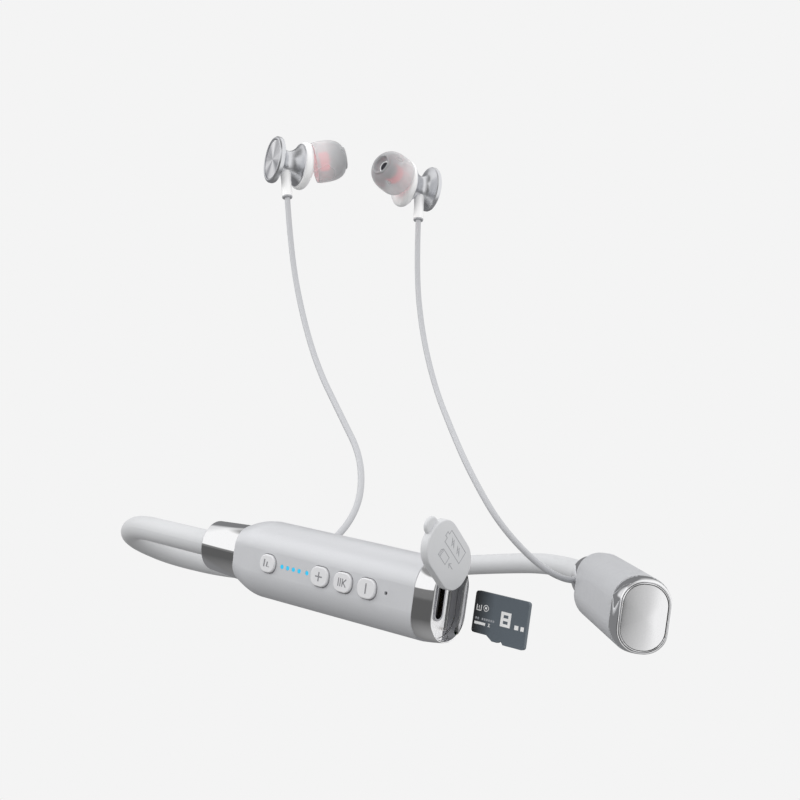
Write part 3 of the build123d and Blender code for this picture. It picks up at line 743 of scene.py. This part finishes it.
def make_earbud(side, ear):
    """The turned shapes of one earbud: spool, back plate, cap, nozzle, tip, and the stem with its ring."""
    low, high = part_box(f"{ear}_back_plate")
    plate_face = 0.3
    bud_x = max(abs(low[0]), abs(high[0])) + plate_face * MM
    origin = Vector((side * bud_x, (low[1] + high[1]) / 2, (low[2] + high[2]) / 2))
    axis = Vector((-side, 0.0, 0.0))
    nozzle = mounts[f"{ear}_nozzle"]
    nozzle_axis = Vector(nozzle["axis"]).normalized()
    root = Vector(nozzle["pos_m"]) - nozzle_axis * NOZZLE_LONG * MM

    rim = rounded_profile([(6.9, 0.9), (6.9, 0.1), (7.15, 0.0), (7.65, 0.12), (7.98, 0.6), (7.98, 1.6),
                           (7.75, 2.0)], [0.05, 0.1, 0.2, 0.25, 0.2])
    waist = flowing([(7.75, 2.0), (6.4, 2.5), (4.75, 3.5), (3.98, 5.1), (4.5, 6.9), (5.9, 8.5), (7.25, 9.45),
                     (7.42, 9.72)])
    body = lathe(f"{ear}_spool", origin, axis, rim + waist[1:] + [Vector((7.4, 9.98)), Vector((6.9, 10.0))],
                 sides=96)
    as_piece(body, "neckband", bud_metal, [f"{ear}_bud_body"])

    disc = rounded_profile([(6.88, 0.9), (6.88, 0.42), (6.5, 0.3), (0.0, 0.36)], [0.1, 0.2])
    plate = lathe(f"{ear}_spun_plate", origin, axis, disc, sides=96)
    as_piece(plate, "neckband", spun, [f"{ear}_back_plate"])

    dome = flowing([(7.4, 9.9), (8.0, 10.2), (8.3, 11.1), (8.15, 12.1), (7.4, 12.9), (5.8, 13.5),
                    (3.0, 13.8), (0.0, 13.86)])
    cap = lathe(f"{ear}_cap", origin, axis, [Vector((6.5, 10.0))] + dome, sides=96)
    as_piece(cap, "neckband", white, [f"{ear}_front_cap"])
    tube = rounded_profile([(3.1, 2.4), (2.3, 3.7), (2.3, 12.0), (2.33, 12.3), (2.33, 12.9),
                            (2.15, NOZZLE_LONG), (1.7, NOZZLE_LONG), (1.7, 11.8)],
                           [0.5, 0.1, 0.1, 0.15, 0.15, 0.1])
    tube_piece = lathe(f"{ear}_nozzle_tube", root, nozzle_axis, tube, sides=64)
    as_piece(tube_piece, "neckband", white)

    back, front = TIP_BACK, TIP_FRONT
    outer = flowing([(6.8, back), (7.05, back + 1.2), (7.1, back + 3.2), (7.0, back + 5.4), (6.6, back + 7.3),
                     (5.8, back + 8.9), (4.8, back + 9.9), (3.9, back + 10.4)])
    lip = rounded_profile([(3.9, back + 10.4), (3.7, front), (3.05, front), (2.9, front - 1.4),
                           (2.42, front - 2.2), (2.4, back + 4.9), (3.0, back + 4.9), (3.3, back + 9.1)],
                          [0.2, 0.3, 0.4, 0.4, 0.1, 0.1])
    inner = flowing([(3.3, back + 9.1), (4.7, back + 8.9), (5.9, back + 7.0), (6.4, back + 4.4),
                     (6.45, back + 0.1)])
    tip = lathe(f"{ear}_tip_skirt", root, nozzle_axis, outer + lip[1:] + inner[1:], sides=96, closed=True)
    as_piece(tip, f"{ear}_tip", shaded_tip(ear), [f"{ear}_ear_tip"])

    before, stem_end = cord_line(side)[-2:]
    down = (before - stem_end).normalized()
    long = (stem_end - origin - axis * 5.0 * MM).dot(down) / MM
    sleeve = rounded_profile([(1.2, 2.1), (1.86, 2.2), (1.86, 4.4), (1.72, 7.0), (STEM_RADIUS, long - 0.55),
                              (STEM_RADIUS, long - 0.5)], [0.1, 0.4, 1.0, 0.0])
    stem_top = stem_end - down * long * MM
    stem = lathe(f"{ear}_stem_sleeve", stem_top, down, sleeve, sides=56)
    as_piece(stem, "neckband", white, [f"{ear}_cord_stem"])
    ring = rounded_profile([(1.74, long - 0.55), (1.74, long - 0.1), (1.5, long + 0.02), (0.9, long + 0.02)],
                           [0.1, 0.1])
    as_piece(lathe(f"{ear}_stem_ring", stem_top, down, ring, sides=56), "neckband", cord_skin)


for side, ear, pod in ((-1, "right", "control"), (1, "left", "battery")):
    route = make_cord(side, ear)
    make_relief(side, ear, route)
    make_collar(side, pod)
    make_bezel(side, pod)
    make_earbud(side, ear)
make_end_plate()
key_marks()
key_gap_shades()
make_lid()
make_card_print()
make_port()


# Studio
GROUND = linear("f4f4f4")


def make_floor():
    """A plain pale ground far below, evenly bright, which the object doesn't mirror."""
    size, depth = 6.0, -0.6
    mesh = bpy.data.meshes.new("floor")
    corners = [(-size, -size, depth), (size, -size, depth), (size, size, depth), (-size, size, depth)]
    mesh.from_pydata(corners, [], [(0, 1, 2, 3)])
    floor = linked("floor", mesh)
    material = bpy.data.materials.new("floor")
    material.use_nodes = True
    tree = material.node_tree
    tree.nodes.clear()
    glow = node(tree, "ShaderNodeEmission")
    glow.inputs["Color"].default_value = GROUND
    output = node(tree, "ShaderNodeOutputMaterial")
    tree.links.new(glow.outputs["Emission"], output.inputs["Surface"])
    mesh.materials.append(material)
    floor.visible_glossy = False
    floor.visible_diffuse = False
    floor.visible_transmission = True


def make_world():
    """Soft light for matt surfaces, the plain ground for the camera, and a studio for glossy surfaces.

    That studio has bands towards -X, a white wall towards +X, a wall in front that grows brighter towards
    +X, and a dim backdrop behind the object with a bright area above the horizon towards -X.
    """
    world = bpy.data.worlds.new("studio")
    bpy.context.scene.world = world
    world.use_nodes = True
    tree = world.node_tree
    background = tree.nodes["Background"]
    direction = node(tree, "ShaderNodeTexCoord").outputs["Generated"]
    split = node(tree, "ShaderNodeSeparateXYZ")
    tree.links.new(direction, split.inputs["Vector"])

    def ramp(value, stops):
        made = node(tree, "ShaderNodeValToRGB")
        elements = made.color_ramp.elements
        while len(elements) < len(stops):
            elements.new(0.5)
        for element, (position, tone) in zip(elements, stops):
            element.position = (position + 1) / 2
            element.color = (tone, tone, tone, 1.0)
        tree.links.new(spread(tree, value, 0.0, 1.0, start=-1.0, end=1.0), made.inputs["Fac"])
        return made.outputs["Color"]

    def mix(share, first, second):
        made = node(tree, "ShaderNodeMixRGB")
        tree.links.new(share, made.inputs["Fac"])
        for socket, colour in zip(("Color1", "Color2"), (first, second)):
            if isinstance(colour, tuple):
                made.inputs[socket].default_value = colour
            else:
                tree.links.new(colour, made.inputs[socket])
        return made.outputs["Color"]

    bands = ramp(split.outputs["Z"], [(-1.0, 0.30), (-0.4, 0.11), (-0.12, 0.11), (-0.11, 0.19), (-0.05, 0.21),
                                      (-0.02, 1.0), (0.62, 1.0), (0.70, 0.30), (1.0, 0.24)])
    right_wall = ramp(split.outputs["X"], [(-1.0, 0.0), (-0.45, 0.0), (0.12, 1.0), (1.0, 1.0)])
    above_ground = ramp(split.outputs["Z"], [(-1.0, 0.0), (-0.45, 0.0), (-0.2, 1.0), (1.0, 1.0)])
    behind = ramp(split.outputs["Y"], [(-1.0, 0.0), (0.66, 0.0), (0.76, 1.0), (1.0, 1.0)])
    in_front = ramp(split.outputs["Y"], [(-1.0, 1.0), (-0.72, 1.0), (-0.55, 0.0), (1.0, 0.0)])
    front_wall = ramp(split.outputs["X"], [(-1.0, 0.12), (-0.64, 0.14), (-0.55, 0.36), (-0.2, 0.62),
                                           (0.02, 1.0), (1.0, 1.0)])
    sides = mix(above_ground, bands, mix(right_wall, bands, (1.0, 1.0, 1.0, 1.0)))
    behind_left = ramp(split.outputs["X"], [(-1.0, 1.0), (-0.28, 1.0), (-0.12, 0.0), (1.0, 0.0)])
    raised_view = ramp(split.outputs["Z"], [(-1.0, 0.0), (0.03, 0.0), (0.1, 1.0), (1.0, 1.0)])
    dim, bright = (0.21, 0.212, 0.218, 1.0), (0.8, 0.8, 0.81, 1.0)
    backdrop = mix(raised_view, dim, mix(behind_left, dim, bright))
    mirrored_light = mix(in_front, mix(behind, sides, backdrop), front_wall)
    soft = ramp(split.outputs["Z"], [(-1.0, 0.24), (-0.3, 0.48), (0.1, 0.86), (0.5, 1.0), (1.0, 1.0)])
    path = node(tree, "ShaderNodeLightPath")
    seen = mix(path.outputs["Is Glossy Ray"], soft, mirrored_light)
    seen = mix(path.outputs["Is Camera Ray"], seen, GROUND)
    seen = mix(path.outputs["Is Transmission Ray"], seen, GROUND)
    tree.links.new(seen, background.inputs["Color"])
    background.inputs["Strength"].default_value = 1.0


def area_light(name, position, target, size, power):
    data = bpy.data.lights.new(name, "AREA")
    data.shape = "RECTANGLE"
    data.size, data.size_y = size
    data.energy = power
    light = linked(name, data)
    light.visible_glossy = False
    light.location = position
    light.rotation_euler = (Vector(target) - Vector(position)).to_track_quat("-Z", "Y").to_euler()


def make_studio():
    bpy.context.scene.view_settings.view_transform = "Standard"
    bpy.context.scene.view_settings.look = "None"
    make_floor()
    make_world()
    middle = (cad_box[0] + cad_box[1]) / 2
    area_light("key_light", (-0.9, -0.7, 1.1), middle, (0.7, 0.7), 3.0)
    area_light("fill_light", (0.9, -0.9, 0.5), middle, (0.8, 0.8), 1.5)
    area_light("side_light", (-1.0, 0.5, 0.6), middle, (0.7, 0.7), 5.0)


make_studio()
